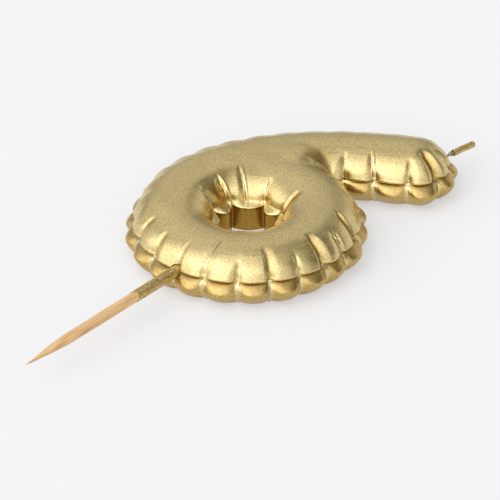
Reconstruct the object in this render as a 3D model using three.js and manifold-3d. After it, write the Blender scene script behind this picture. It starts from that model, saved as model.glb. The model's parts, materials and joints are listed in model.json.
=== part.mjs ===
// Number-six cake candle, cast in wax in the shape of an inflated foil balloon.
// It lies on its flat back: +Y runs from the point of the pick to the wick, +Z is the puffed front.
// Millimetres. The digit is drawn about the centre of its loop, and the finished group is moved so
// that its origin is the middle of its footprint on the table.
import * as THREE from 'three';
import { mergeVertices } from 'three/addons/utils/BufferGeometryUtils.js';
import Module from 'manifold-3d';

// Puffed digit
const LOOP_RADIUS = 22;
const HOLE_RADIUS = 7.5;
const SEAM_HEIGHT = 6;
const DOME_HEIGHT = 5;
const BACK_TUCK = 2;

// Arm of the six: a stroke of constant width that leaves the loop at its lower left and swells past
// its left side. Its middle line goes through these points, in loop radii from the loop's centre.
const ARM_HALF_WIDTH = 7.1;
const ARM_ROUTE = [
  [-0.52, -0.44],
  [-0.72, 0],
  [-0.69, 0.42],
  [-0.52, 0.79],
  [-0.28, 1.11],
  [0, 1.365],
  [0.26, 1.55],
  [0.526, 1.709],
];

// Gathers: the small puffs below the seam, each between two tucks
const GATHER_PITCH = 6.3;
const GATHER_BULGE = 2.2;
const GATHER_DEPTH = 3.1;
const GATHER_HALF_HEIGHT = 3;
const GATHER_DROP = 2.7;
const GATHER_OVERLAP = 1.16;
const HOLE_GATHERS = 8;
const HOLE_GATHER_BULGE = 1.9;
const HOLE_GATHER_DROP = 0.8;

// Creases: the hollow that runs up the dome from every tuck
const CREASE_LENGTH = 6.5;
const CREASE_WIDTH = 1.3;
const CREASE_DEPTH = 1;
const CREASE_RISE_ANGLE = 20;

// Wooden pick and the gold coat on the part of it next to the digit
const PICK_ANGLE = 272.5;
const PICK_RADIUS = 1.1;
const PICK_DROP = 0.6;
const PICK_REACH = 43.5;
const PICK_SINK = 14;
const PICK_TAPER = 12.4;
const PICK_TAPER_CURVE = 1.4;
const PICK_END_BEVEL = 0.25;
const PICK_COAT_THICKNESS = 0.1;
const PICK_COAT_START = 0.9;
const PICK_COAT_END = 13.4;

// Plaited wick and the gold coat on its end. In the wax the wick keeps to the middle of the arm, at
// these shares of it, and then turns up and out through points measured from the arm's tip.
const WICK_DROP = 0.6;
const WICK_ARM_SHARES = [0.2, 0.35, 0.5, 0.65, 0.78, 0.9];
const WICK_WAY_OUT = [
  [2, 4],
  [2.9, 9.4],
  [3.8, 14.8],
];
const STRAND_COUNT = 3;
const STRAND_RADIUS = 0.15;
const PLAIT_HALF_WIDTH = 0.33;
const PLAIT_HALF_THICKNESS = 0.28;
const PLAIT_PITCH = 6;
const WICK_COAT_LENGTH = 5.6;
const WICK_COAT_THICKNESS = 0.1;

// Clearances between the pieces
const BORE_CLEARANCE = 0.2;
const COAT_CLEARANCE = 0.05;
const COAT_END_CLEARANCE = 0.2;

// Facets
const LOOP_SIDES = 60;
const DOME_STEPS = 8;
const ARM_STEPS = 22;
const ROUND_SIDES = 16;
const EGG_SIDES = 8;
const EGG_RINGS = 6;
const POST_CAP_RINGS = 3;
const CREASE_SIDES = 5;
const CREASE_RINGS = 4;
const STRAND_SIDES = 5;
const STRAND_STEPS_PER_PITCH = 11;
const SEAM_STEPS = 120;
const TAPER_STEPS = 5;

// How far tools that cut the body, and the wax below its back, run past the cut
const PAST = 1;

const wasm = await Module();
wasm.setup();

const radians = THREE.MathUtils.degToRad;
const onCircle = (radius, angle) => new THREE.Vector3(radius * Math.cos(angle), radius * Math.sin(angle), 0);
const leftOf = (way) => new THREE.Vector3(-way.y, way.x, 0);

// ---- Solids and pieces

// A closed geometry as a solid. The empty triangles at its poles are left out.
function toSolid(geometry) {
  geometry.deleteAttribute('normal');
  geometry.deleteAttribute('uv');
  const merged = mergeVertices(geometry);
  const corners = merged.index.array;
  const triVerts = [];
  for (let i = 0; i < corners.length; i += 3) {
    const [a, b, c] = corners.slice(i, i + 3);
    if (a !== b && b !== c && c !== a) triVerts.push(a, b, c);
  }
  return new wasm.Manifold(
    new wasm.Mesh({
      numProp: 3,
      vertProperties: merged.attributes.position.array,
      triVerts: new Uint32Array(triVerts),
    }),
  );
}

function makePiece(name, solid, look) {
  const mesh = solid.getMesh();
  const geometry = new THREE.BufferGeometry();
  geometry.setAttribute('position', new THREE.BufferAttribute(mesh.vertProperties, 3));
  geometry.setIndex(new THREE.BufferAttribute(mesh.triVerts, 1));
  geometry.computeVertexNormals();
  const piece = new THREE.Mesh(geometry, new THREE.MeshStandardMaterial(look));
  piece.name = name;
  return piece;
}

// A profile of [radius, distance] points turned about a line that starts at a point and runs one way.
function turned(profile, sides, start, way) {
  const points = profile.map(([radius, distance]) => new THREE.Vector2(radius, distance));
  const turn = new THREE.Quaternion().setFromUnitVectors(new THREE.Vector3(0, 1, 0), way);
  const geometry = new THREE.LatheGeometry(points, sides).applyQuaternion(turn);
  return toSolid(geometry.translate(start.x, start.y, start.z));
}

function rod(radius, length, start, way) {
  const profile = [
    [0, 0],
    [radius, 0],
    [radius, length],
    [0, length],
  ];
  return turned(profile, ROUND_SIDES, start, way);
}

// ---- Outline of the digit, at the seam

const loopMiddle = (LOOP_RADIUS + HOLE_RADIUS) / 2;
const loopHalfWidth = (LOOP_RADIUS - HOLE_RADIUS) / 2;
const up = new THREE.Vector3(0, 0, 1);

const armLine = new THREE.CatmullRomCurve3(
  ARM_ROUTE.map(([x, y]) => new THREE.Vector3(x, y, 0).multiplyScalar(LOOP_RADIUS)),
);
const armTip = armLine.getPoint(1);

// Points along the arm's left side, round its tip and back along its right side to the notch.
function armSeam() {
  const leftSide = [];
  const rightSide = [];
  for (let i = 0; i <= SEAM_STEPS; i += 1) {
    const point = armLine.getPoint(i / SEAM_STEPS);
    const toLeft = leftOf(armLine.getTangent(i / SEAM_STEPS)).multiplyScalar(ARM_HALF_WIDTH);
    leftSide.push(point.clone().add(toLeft));
    const right = point.clone().sub(toLeft);
    if (right.length() > LOOP_RADIUS) rightSide.unshift(right);
  }
  const firstSpoke = leftOf(armLine.getTangent(1)).multiplyScalar(ARM_HALF_WIDTH);
  const roundTip = [];
  for (let i = 1; i < SEAM_STEPS; i += 1) {
    roundTip.push(firstSpoke.clone().applyAxisAngle(up, (-Math.PI * i) / SEAM_STEPS).add(armTip));
  }
  return [...leftSide, ...roundTip, ...rightSide];
}

// Points along the loop's seam, clockwise from one angle to a smaller one.
function loopSeam(fromAngle, toAngle) {
  const seam = [];
  for (let i = 0; i <= SEAM_STEPS; i += 1) {
    seam.push(onCircle(LOOP_RADIUS, THREE.MathUtils.lerp(fromAngle, toAngle, i / SEAM_STEPS)));
  }
  return seam;
}

const armOutline = armSeam();
const notch = armOutline[armOutline.length - 1];

// Clockwise, the seam is two stretches that both start at a tuck: from the pick round the left side
// and the arm to the notch, and from the notch down the loop's right side to the pick.
function seamStretches() {
  const root = armOutline[0];
  const rootAngle = Math.atan2(root.y, root.x) + 2 * Math.PI;
  const notchAngle = Math.atan2(notch.y, notch.x);
  const pickAngle = radians(PICK_ANGLE);
  return [
    [...loopSeam(pickAngle, rootAngle).slice(0, -1), ...armOutline],
    loopSeam(notchAngle, pickAngle - 2 * Math.PI),
  ];
}

// The tucks and the gathers of a stretch of the seam: where each lies, and which way is outwards.
function gathersAlong(points) {
  const seam = new THREE.CurvePath();
  for (let i = 1; i < points.length; i += 1) seam.add(new THREE.LineCurve3(points[i - 1], points[i]));
  const count = Math.round(seam.getLength() / GATHER_PITCH);
  const pitch = seam.getLength() / count;
  const placeAt = (share) => ({ point: seam.getPoint(share), outwards: leftOf(seam.getTangent(share)) });
  const tucks = [];
  const gathers = [];
  for (let i = 0; i < count; i += 1) {
    tucks.push(placeAt(i / count));
    gathers.push({ ...placeAt((i + 0.5) / count), pitch });
  }
  return { tucks, gathers };
}

// ---- Wax body

// Points of the dome's section, from one angle of its ellipse to another, about the middle of a stroke.
function domeArc(middle, halfWidth, fromAngle, toAngle) {
  const arc = [];
  for (let i = 0; i <= DOME_STEPS; i += 1) {
    const angle = THREE.MathUtils.lerp(fromAngle, toAngle, i / DOME_STEPS);
    arc.push([middle + halfWidth * Math.cos(angle), SEAM_HEIGHT + DOME_HEIGHT * Math.sin(angle)]);
  }
  return arc;
}

function loopRing() {
  const profile = [
    [HOLE_RADIUS, -PAST],
    [LOOP_RADIUS - BACK_TUCK, -PAST],
    ...domeArc(loopMiddle, loopHalfWidth, 0, Math.PI),
    [HOLE_RADIUS, -PAST],
  ];
  return turned(profile, LOOP_SIDES, new THREE.Vector3(), up);
}

// Along a flat path, an extrusion turns its section's x axis down and its y axis to the left.
function armStroke() {
  const section = new THREE.Shape();
  section.moveTo(PAST, BACK_TUCK - ARM_HALF_WIDTH);
  section.lineTo(PAST, ARM_HALF_WIDTH - BACK_TUCK);
  for (const [across, height] of domeArc(0, ARM_HALF_WIDTH, 0, Math.PI)) section.lineTo(-height, across);
  section.closePath();
  return toSolid(
    new THREE.ExtrudeGeometry(section, { steps: ARM_STEPS, bevelEnabled: false, extrudePath: armLine }),
  );
}

function armEnd() {
  const profile = [
    [0, -PAST],
    [ARM_HALF_WIDTH - BACK_TUCK, -PAST],
    ...domeArc(0, ARM_HALF_WIDTH, 0, Math.PI / 2).slice(0, -1),
    [0, SEAM_HEIGHT + DOME_HEIGHT],
  ];
  return turned(profile, LOOP_SIDES / 2, armTip, up);
}

// An egg below the seam, most of it buried in the side of the digit.
function gather({ point, outwards, pitch }) {
  const egg = new THREE.SphereGeometry(1, EGG_SIDES, EGG_RINGS);
  egg.scale(GATHER_DEPTH, (pitch / 2) * GATHER_OVERLAP, GATHER_HALF_HEIGHT);
  egg.rotateZ(Math.atan2(outwards.y, outwards.x));
  const centre = point.clone().addScaledVector(outwards, GATHER_BULGE - GATHER_DEPTH);
  return toSolid(egg.translate(centre.x, centre.y, SEAM_HEIGHT - GATHER_DROP));
}

// An upright post with a rounded top on the wall of the hole.
function holeGather(index) {
  const angle = ((index + 0.5) * 2 * Math.PI) / HOLE_GATHERS;
  const pitch = (2 * Math.PI * HOLE_RADIUS) / HOLE_GATHERS;
  const top = SEAM_HEIGHT - HOLE_GATHER_DROP;
  const post = new THREE.CapsuleGeometry(1, top + PAST, POST_CAP_RINGS, EGG_SIDES, 1).rotateX(Math.PI / 2);
  post.translate(0, 0, top - (top + PAST) / 2 - 1);
  post.scale(HOLE_GATHER_BULGE, pitch / 2, 1);
  post.rotateZ(angle);
  const centre = onCircle(HOLE_RADIUS, angle);
  return toSolid(post.translate(centre.x, centre.y, 0));
}

// A slender spindle that touches the flank of the dome along a line straight up from a tuck.
function crease({ point, outwards }) {
  const angle = radians(CREASE_RISE_ANGLE);
  const flank = { inwards: ARM_HALF_WIDTH * (1 - Math.cos(angle)), height: DOME_HEIGHT * Math.sin(angle) };
  const slope = Math.atan2(DOME_HEIGHT * Math.cos(angle), ARM_HALF_WIDTH * Math.sin(angle));
  const spindle = new THREE.SphereGeometry(0.5, CREASE_SIDES, CREASE_RINGS);
  spindle.scale(CREASE_DEPTH, CREASE_WIDTH, CREASE_LENGTH);
  spindle.rotateY(slope - Math.PI / 2);
  spindle.rotateZ(Math.atan2(outwards.y, outwards.x));
  const middle = point.clone().addScaledVector(outwards, -flank.inwards);
  return toSolid(spindle.translate(middle.x, middle.y, SEAM_HEIGHT + flank.height));
}

// The notch has no crease, because the arm's dome and the loop's dome meet there.
function waxBody() {
  const stretches = seamStretches().map(gathersAlong);
  const gathers = stretches.flatMap((stretch) => stretch.gathers);
  const tucks = stretches.flatMap((stretch) => stretch.tucks);
  const creased = tucks.filter(({ point }) => point.distanceTo(notch) > GATHER_PITCH / 2);
  let body = loopRing().add(armStroke()).add(armEnd());
  for (const place of gathers) body = body.add(gather(place));
  for (let i = 0; i < HOLE_GATHERS; i += 1) body = body.add(holeGather(i));
  for (const place of creased) body = body.subtract(crease(place));
  for (const tool of [belowBack(), ...pickBores(), ...wickBores()]) body = body.subtract(tool);
  return body;
}

// Everything below the flat back.
function belowBack() {
  const reach = 2 * (LOOP_RADIUS + armTip.y + ARM_HALF_WIDTH);
  return toSolid(new THREE.BoxGeometry(reach, reach, 4 * PAST).translate(0, 0, -2 * PAST));
}

// ---- Pick

const pickWay = new THREE.Vector3(0, -1, 0);
const pickEntry = onCircle(LOOP_RADIUS, radians(PICK_ANGLE)).setZ(SEAM_HEIGHT - PICK_DROP);
const alongPick = (distance) => pickEntry.clone().addScaledVector(pickWay, distance);

function pick() {
  const length = PICK_SINK + PICK_REACH;
  const profile = [
    [0, 0],
    [PICK_RADIUS - PICK_END_BEVEL, 0],
    [PICK_RADIUS, PICK_END_BEVEL],
  ];
  for (let i = 0; i < TAPER_STEPS; i += 1) {
    const share = i / TAPER_STEPS;
    profile.push([PICK_RADIUS * (1 - share ** PICK_TAPER_CURVE), length - PICK_TAPER * (1 - share)]);
  }
  profile.push([0, length]);
  return turned(profile, ROUND_SIDES, alongPick(-PICK_SINK), pickWay);
}

function pickCoat() {
  const inside = PICK_RADIUS + COAT_CLEARANCE;
  const outside = inside + PICK_COAT_THICKNESS;
  const length = PICK_COAT_END - PICK_COAT_START;
  const profile = [
    [inside, 0],
    [outside, 0],
    [outside, length],
    [inside, length],
    [inside, 0],
  ];
  return turned(profile, ROUND_SIDES, alongPick(PICK_COAT_START), pickWay);
}

// The hole that holds the pick, and the room that the gathers leave round its coat.
function pickBores() {
  const coatRadius = PICK_RADIUS + COAT_CLEARANCE + PICK_COAT_THICKNESS;
  const boreStart = alongPick(-PICK_SINK - BORE_CLEARANCE);
  const coatStart = alongPick(PICK_COAT_START - BORE_CLEARANCE);
  return [
    rod(PICK_RADIUS + BORE_CLEARANCE, PICK_SINK + PICK_REACH, boreStart, pickWay),
    rod(coatRadius + BORE_CLEARANCE, PICK_COAT_END, coatStart, pickWay),
  ];
}

// ---- Wick

const wickLevel = SEAM_HEIGHT - WICK_DROP;
const wickLine = new THREE.CatmullRomCurve3([
  ...WICK_ARM_SHARES.map((share) => armLine.getPoint(share).setZ(wickLevel)),
  ...WICK_WAY_OUT.map(([x, y]) => new THREE.Vector3(armTip.x + x, armTip.y + y, wickLevel)),
]);
const wickEnd = wickLine.getPointAt(1);
const wickWay = wickLine.getTangentAt(1);
// A strand reaches furthest from the middle of the plait where its two swings add up.
const plaitReach = (PLAIT_HALF_WIDTH ** 2 + 4 * PLAIT_HALF_THICKNESS ** 2) / (4 * PLAIT_HALF_THICKNESS);
const wickRadius = plaitReach + STRAND_RADIUS;
const wickTurns = wickLine.getLength() / PLAIT_PITCH;

// A strand of the plait swings once from side to side, and twice up and down, in every pitch.
class PlaitedStrand extends THREE.Curve {
  constructor(index) {
    super();
    this.phase = (index * 2 * Math.PI) / STRAND_COUNT;
    this.steps = Math.round(wickTurns * STRAND_STEPS_PER_PITCH);
    this.arcLengthDivisions = this.steps * 4;
  }

  getPoint(share, target = new THREE.Vector3()) {
    const swing = 2 * Math.PI * wickTurns * share + this.phase;
    const side = leftOf(wickLine.getTangentAt(share));
    return target
      .copy(wickLine.getPointAt(share))
      .addScaledVector(side, PLAIT_HALF_WIDTH * Math.sin(swing))
      .addScaledVector(up, PLAIT_HALF_THICKNESS * Math.sin(2 * swing));
  }
}

function roundSection(radius, sides) {
  const corners = [];
  for (let i = 0; i < sides; i += 1) {
    const angle = (i * 2 * Math.PI) / sides;
    corners.push(new THREE.Vector2(radius * Math.cos(angle), radius * Math.sin(angle)));
  }
  return new THREE.Shape(corners);
}

function sweep(radius, sides, path, steps) {
  const section = roundSection(radius, sides);
  return toSolid(new THREE.ExtrudeGeometry(section, { steps, bevelEnabled: false, extrudePath: path }));
}

function wickStrand(index) {
  const path = new PlaitedStrand(index);
  return sweep(STRAND_RADIUS, STRAND_SIDES, path, path.steps);
}

// A cup over the end of the wick.
function wickCoat() {
  const inside = wickRadius + COAT_CLEARANCE;
  const outside = inside + WICK_COAT_THICKNESS;
  const depth = WICK_COAT_LENGTH - WICK_COAT_THICKNESS;
  const profile = [
    [0, depth],
    [inside, depth],
    [inside, 0],
    [outside, 0],
    [outside, WICK_COAT_LENGTH],
    [0, WICK_COAT_LENGTH],
  ];
  const start = wickEnd.clone().addScaledVector(wickWay, COAT_END_CLEARANCE - depth);
  return turned(profile, ROUND_SIDES, start, wickWay);
}

// The channel that holds the wick, and the room round its coat.
function wickBores() {
  const coatRadius = wickRadius + COAT_CLEARANCE + WICK_COAT_THICKNESS;
  const firstWay = wickLine.getTangentAt(0);
  const start = wickLine.getPointAt(0).addScaledVector(firstWay, -BORE_CLEARANCE);
  const coatStart = wickEnd.clone().addScaledVector(wickWay, -WICK_COAT_LENGTH - BORE_CLEARANCE);
  return [
    rod(wickRadius + BORE_CLEARANCE, 2 * BORE_CLEARANCE, start, firstWay),
    sweep(wickRadius + BORE_CLEARANCE, ROUND_SIDES / 2, wickLine, ARM_STEPS),
    rod(coatRadius + BORE_CLEARANCE, WICK_COAT_LENGTH + PAST, coatStart, wickWay),
  ];
}

// ---- Candle

const goldWax = { color: '#bda45f', roughness: 0.38, metalness: 0.85 };
const goldCoat = { color: '#957c3b', roughness: 0.5, metalness: 0.8 };
const bareWood = { color: '#dcb173', roughness: 0.8, metalness: 0 };
const waxedCotton = { color: '#efe9da', roughness: 0.9, metalness: 0 };

const candle = new THREE.Group();
candle.add(makePiece('wax_body', waxBody(), goldWax));
candle.add(makePiece('wooden_pick', pick(), bareWood));
candle.add(makePiece('pick_gold_coat', pickCoat(), goldCoat));
for (let i = 0; i < STRAND_COUNT; i += 1) {
  candle.add(makePiece(`wick_strand_${i + 1}`, wickStrand(i), waxedCotton));
}
candle.add(makePiece('wick_gold_coat', wickCoat(), goldCoat));

const footprint = new THREE.Box3().setFromObject(candle).getCenter(new THREE.Vector3());
candle.position.set(-footprint.x, -footprint.y, 0);

export default candle;
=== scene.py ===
"""A gold wax number candle in the shape of a foil balloon six, lying on its flat back.

It is cast wax with a satin gold lacquer, a wooden pick at the foot of the loop, and a wick that
runs through the arm and comes out beside its tip. Lengths in this script are millimetres from
the middle of the loop, and become metres in the model's frame where a mesh is made.
"""

import json
import math

import bmesh
import bpy
import numpy as np
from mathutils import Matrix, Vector, kdtree, noise
from mathutils.geometry import delaunay_2d_cdt


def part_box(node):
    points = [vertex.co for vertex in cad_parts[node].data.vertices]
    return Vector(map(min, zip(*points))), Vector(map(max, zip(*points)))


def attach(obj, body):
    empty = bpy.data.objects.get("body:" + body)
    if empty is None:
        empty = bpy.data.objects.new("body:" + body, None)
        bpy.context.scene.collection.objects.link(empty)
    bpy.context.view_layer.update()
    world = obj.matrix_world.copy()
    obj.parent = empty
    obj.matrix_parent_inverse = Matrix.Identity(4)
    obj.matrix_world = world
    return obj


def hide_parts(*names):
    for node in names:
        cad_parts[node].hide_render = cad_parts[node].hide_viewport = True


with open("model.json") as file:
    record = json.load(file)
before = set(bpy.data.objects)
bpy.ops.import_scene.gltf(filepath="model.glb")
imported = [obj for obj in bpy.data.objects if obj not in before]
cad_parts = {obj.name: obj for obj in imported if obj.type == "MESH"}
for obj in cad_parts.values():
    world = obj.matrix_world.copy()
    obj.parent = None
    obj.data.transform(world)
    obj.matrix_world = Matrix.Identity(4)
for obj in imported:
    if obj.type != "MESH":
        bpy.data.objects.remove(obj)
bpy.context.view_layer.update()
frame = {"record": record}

# ---- Sizes of the cast body

MM = 0.001
LOOP_RADIUS = 22.0
HOLE_RADIUS = 7.5
SEAM_HEIGHT = 6.0
DOME_HEIGHT = 5.0
ARM_HALF_WIDTH = 7.1
# The middle of the arm, in loop radii.
ARM_ROUTE = [
    (-0.52, -0.44),
    (-0.72, 0.0),
    (-0.69, 0.42),
    (-0.52, 0.79),
    (-0.28, 1.11),
    (0.0, 1.365),
    (0.26, 1.55),
    (0.526, 1.709),
]
ARM_STEPS = 10
TUBE_RADIUS = (LOOP_RADIUS - HOLE_RADIUS) / 2
TUBE_MIDDLE = (LOOP_RADIUS + HOLE_RADIUS) / 2

# The arm and the loop run together softly along their crests and in the root of the notch.
NOTCH = np.array([2.0, 22.3])
NOTCH_REACH = 2.5
SADDLE = np.array([-3.4, 20.9])
SADDLE_REACH = 3.7
SADDLE_BLEND = 2.2
CREST_BLEND = 1.1
CREST_LIMIT = 1.1
CREST_EASE = 12
NOTCH_BLEND = 0.5
LEAST_BLEND = 0.02
# The field up to which a rough outline point counts as near the seam.
NEAR_SEAM = 0.05

# ---- Mesh spacing

COLUMN_SPACING = 0.22
FIRST_SPACING = 0.1
DOME_BAND_TURN = 54
DOME_BAND_ROWS = 18
GATHER_ROWS = 28
GRID_SPACING = 0.24
# How much a gap in the top row of a band counts, beside one in the seam.
TOP_ROW_WEIGHT = 0.8
# The grid on the crown starts above this field, and this share of its spacing inside the bands.
CROWN_FIELD = 0.3
CROWN_MARGIN = 0.55


def smooth_route(points, steps):
    """A centripetal Catmull-Rom curve through the points."""
    points = np.array(points, float)
    padded = np.vstack([2 * points[0] - points[1], points, 2 * points[-1] - points[-2]])
    route = []
    for i in range(1, len(padded) - 2):
        a, b, c, d = padded[i - 1 : i + 3]
        ab, bc, cd = (np.linalg.norm(q - p) ** 0.5 for p, q in ((a, b), (b, c), (c, d)))
        leave = ((b - a) / ab - (c - a) / (ab + bc) + (c - b) / bc) * bc
        arrive = ((c - b) / bc - (d - b) / (bc + cd) + (d - c) / cd) * bc
        for s in np.arange(steps) / steps:
            route.append(
                (2 * s**3 - 3 * s**2 + 1) * b
                + (s**3 - 2 * s**2 + s) * leave
                + (3 * s**2 - 2 * s**3) * c
                + (s**3 - s**2) * arrive
            )
    return np.array(route + [points[-1]])


def unit(vectors):
    return vectors / np.linalg.norm(vectors, axis=-1, keepdims=True)


def smoothstep(low, high, value):
    share = np.clip((value - low) / (high - low), 0, 1)
    return share * share * (3 - 2 * share)


arm_line = smooth_route(np.array(ARM_ROUTE) * LOOP_RADIUS, ARM_STEPS)
arm_ways = unit(np.gradient(arm_line, axis=0))
arm_rights = np.stack([arm_ways[:, 1], -arm_ways[:, 0]], axis=1)


# ---- The dome, as a field over the plan: 1 along the ridge, 0 at the seam, negative outside


def loop_field(plan):
    """The loop's field and its slope."""
    radius = np.linalg.norm(plan, axis=1, keepdims=True)
    beyond = (radius - TUBE_MIDDLE) / TUBE_RADIUS
    return 1 - beyond[:, 0] ** 2, -2 * beyond / TUBE_RADIUS * plan / np.maximum(radius, 1e-9)


def arm_field(plan):
    """The arm's field and its slope, from the nearest place on the arm's middle line."""
    nearest = np.full(len(plan), np.inf)
    gap = np.zeros_like(plan)
    for start, end in zip(arm_line[:-1], arm_line[1:]):
        leg = end - start
        share = np.clip((plan - start) @ leg / (leg @ leg), 0, 1)
        aside = plan - start - share[:, None] * leg
        distance = (aside**2).sum(axis=1)
        closer = distance < nearest
        nearest[closer] = distance[closer]
        gap[closer] = aside[closer]
    return 1 - nearest / ARM_HALF_WIDTH**2, -2 * gap / ARM_HALF_WIDTH**2


def dome_field(plan):
    """The field of the loop and the arm run together, and its slope."""
    loop, loop_slope = loop_field(plan)
    arm, arm_slope = arm_field(plan)
    away = np.linalg.norm(plan - NOTCH, axis=1) / NOTCH_REACH
    crest = np.clip(np.maximum(loop, arm), 0, 1)
    from_saddle = np.linalg.norm(plan - SADDLE, axis=1) / SADDLE_REACH
    blend = LEAST_BLEND + CREST_BLEND * crest + NOTCH_BLEND * np.exp(-(away**2))
    blend += SADDLE_BLEND * np.exp(-(from_saddle**2))
    overlap = np.maximum(blend - np.abs(loop - arm), 0)
    share = np.clip(0.5 + (loop - arm) / (2 * blend), 0, 1)[:, None]
    field = np.maximum(loop, arm) + overlap**2 / (4 * blend)
    slope = share * loop_slope + (1 - share) * arm_slope
    # Where both run side by side the crest levels off instead of rising.
    excess = np.exp(CREST_EASE * (field - CREST_LIMIT))
    return field - np.log1p(excess) / CREST_EASE, slope / (1 + excess)[:, None]


def settle(plan, passes=5):
    """Moves plan points to where the field is 0, which is the seam."""
    for _ in range(passes):
        field, slope = dome_field(plan)
        plan = plan - (field / (slope**2).sum(axis=1))[:, None] * slope
    return plan


def dome_surface(plan):
    """The bare dome over plan points: its places and the way it faces there."""
    field, slope = dome_field(plan)
    rise = np.sqrt(np.maximum(field, 0))[:, None]
    places = np.hstack([plan, SEAM_HEIGHT + DOME_HEIGHT * rise])
    facing = unit(np.hstack([-DOME_HEIGHT * slope, 2 * rise + 1e-9]))
    return places, facing


# ---- The seam


def around(radius, start, end, spacing=0.1):
    steps = max(2, math.ceil(abs(end - start) * radius / spacing))
    angles = np.linspace(start, end, steps, endpoint=False)
    return radius * np.stack([np.cos(angles), np.sin(angles)], axis=1)


def rough_outline():
    """The outline of the loop and the arm together, anticlockwise from the notch."""
    circle = around(LOOP_RADIUS, 0, 2 * math.pi)
    circle = circle[arm_field(circle)[0] < 0]
    # The circle's gap is where the arm covers it, so the run starts just after the widest step.
    gaps = np.linalg.norm(circle - np.roll(circle, 1, axis=0), axis=1)
    circle = np.roll(circle, -int(gaps.argmax()), axis=0)
    last = math.atan2(arm_rights[-1, 1], arm_rights[-1, 0])
    cap = arm_line[-1] + around(ARM_HALF_WIDTH, last, last + math.pi)
    inner = arm_line + ARM_HALF_WIDTH * arm_rights
    outer = (arm_line - ARM_HALF_WIDTH * arm_rights)[::-1]
    inner = inner[(loop_field(inner)[0] < 0) & (np.linalg.norm(inner, axis=1) > TUBE_MIDDLE)]
    outer = outer[loop_field(outer)[0] < 0]
    outline = np.vstack([circle, inner, cap, outer])
    # In the root of the notch the softened seam lies well outside these lines.
    return outline[dome_field(outline)[0] < NEAR_SEAM]


def respace(line, weights, spacing):
    """A closed line with its points set so that the weights of the stretches between them are even."""
    total = weights.sum()
    count = math.ceil(total / spacing)
    marks = np.concatenate([[0], np.cumsum(weights)])
    closed = np.vstack([line, line[:1]])
    wanted = np.arange(count) * total / count
    return np.stack([np.interp(wanted, marks, closed[:, k]) for k in range(2)], axis=1)


def closed_steps(line):
    return np.linalg.norm(np.roll(line, -1, axis=0) - line, axis=1)


def band_rows(seam):
    """Rows of plan points from the seam up the dome, each at an even turn of its section."""
    inward = unit(dome_field(seam)[1])
    turns = np.radians(np.linspace(0, DOME_BAND_TURN, DOME_BAND_ROWS + 1))
    reaches = TUBE_RADIUS * (1 - np.cos(turns))
    return seam + reaches[:, None, None] * inward


def seam_line(rough):
    """The seam, spaced so that neither it nor the top row of its band has wide gaps."""
    seam = settle(respace(rough, closed_steps(rough), FIRST_SPACING))
    for spacing in (FIRST_SPACING, COLUMN_SPACING):
        steps = np.maximum(closed_steps(seam), TOP_ROW_WEIGHT * closed_steps(band_rows(seam)[-1]))
        seam = settle(respace(seam, steps, spacing), 2)
    return seam


# ---- The gathers under the seam

# Where the loop's gathers meet, in degrees round the loop; the pick comes out at one of them.
PICK_ANGLE = 272.5
LOOP_MARKS = [206, 220, 238, 255.2, PICK_ANGLE, 288.7, 306.6, 322.8, 338.4, 354.4, 8.8, 27.7, 46.7]
# Where the arm's gathers meet on its inner side and round its tip.
ARM_MARKS = [(4.7, 24.8), (9.9, 27.6), (15.5, 31.7), (18.6, 36.7), (17.6, 41.4), (13.9, 44.4)]
# Where no meeting place is given, the gathers are about this wide.
GATHER_PITCH = 6.3
# How far a gather swells out at its middle and where two of them meet, and its roundness.
GATHER_BULGE = 2.8
NODE_BULGE = 0.5
GATHER_FLATNESS = 2.3
GATHER_SHOULDER = 0.6
BEAD_CREST = 0.45
BEAD_UPPER_CURVE = 1.1
BEAD_LOWER_CURVE = 2.2
# A thin rib stands between two gathers, and the seam is a lip over them.
NODE_RIB = 0.45
NODE_RIB_WIDTH = 0.12
LIP_UNDERCUT = 0.45
LIP_DEPTH = 0.3
LIP_FLARE = 0.35
LIP_FLARE_RISE = 0.5
# The gathers draw in under themselves towards the ground.
GATHER_TUCK = 2.2
TUCK_CURVE = 1.5
LEAST_TUCK = 0.4
GATHER_UNEVENNESS = 0.1
# The gathers are fuller on the outside of the bend where the arm leaves the loop.
FULL_GATHERS = np.array([-23.0, 7.0])
FULL_REACH = 10.0
FULLER = 0.6
# Over the seam the dome is pinched in between gathers, and puffed out and billowing over them.
NODE_PINCH = 0.3
PINCH_WIDTH = 0.22
PINCH_RISE = 2.6
PUFF = 0.4
PUFF_FULL = 0.2
PUFF_RISE = 5.2
BILLOW = 0.24
BILLOW_REACH = 16.0
BILLOW_RISE = (0.0, 2.0, 3.4, 5.0)
# How much of the free room outside the seam a gather may fill.
ROOM_SHARE = 0.8
# The hole: where its gathers meet, in degrees, and the shelves and walls that they make.
HOLE_MARKS = [64, 103, 154.7, 191, 234, 281, 331, 16]
HOLE_BULGE = 1.9
HOLE_NODE_BULGE = 0.15
HOLE_SHOULDER = 0.8
HOLE_ROW_CROWDING = 1.6
HOLE_SHELF_DROP = 0.7
HOLE_SHELF_EDGE = 7
HOLE_WALL_START = (0.9, 1.3)
# How much painted shade darkens and warms the lacquer, from 0 to 1: between gathers, at their feet,
# all over them under the lip, and down the hole; and how far the painted shade along creases reaches.
GROOVE_SHADE = 0.8
FOOT_SHADE = 0.9
GATHER_SHADE = 0.56
HOLE_WALL_SHADE = 1.0
CREASE_SHADE_REACH = 0.7
# Low places on the dome darkened with painted shade: where, how far it reaches and how much.
SHADE_SPOTS = [((-0.4, 22.6), 2.2, 0.7), ((-8.4, 0.5), 2.0, 0.9), ((-6.6, -4.4), 1.6, 0.6)]
# How much painted highlight lightens the lacquer along the ribs between gathers and along folds.
RIB_HIGHLIGHT = 0.6
FOLD_HIGHLIGHT = 0.65


def on_circle(radius, degrees):
    return [radius * np.array([math.cos(angle), math.sin(angle)]) for angle in np.radians(degrees)]


def nearest_place(line, point):
    return int(np.linalg.norm(line - point, axis=1).argmin())


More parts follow.
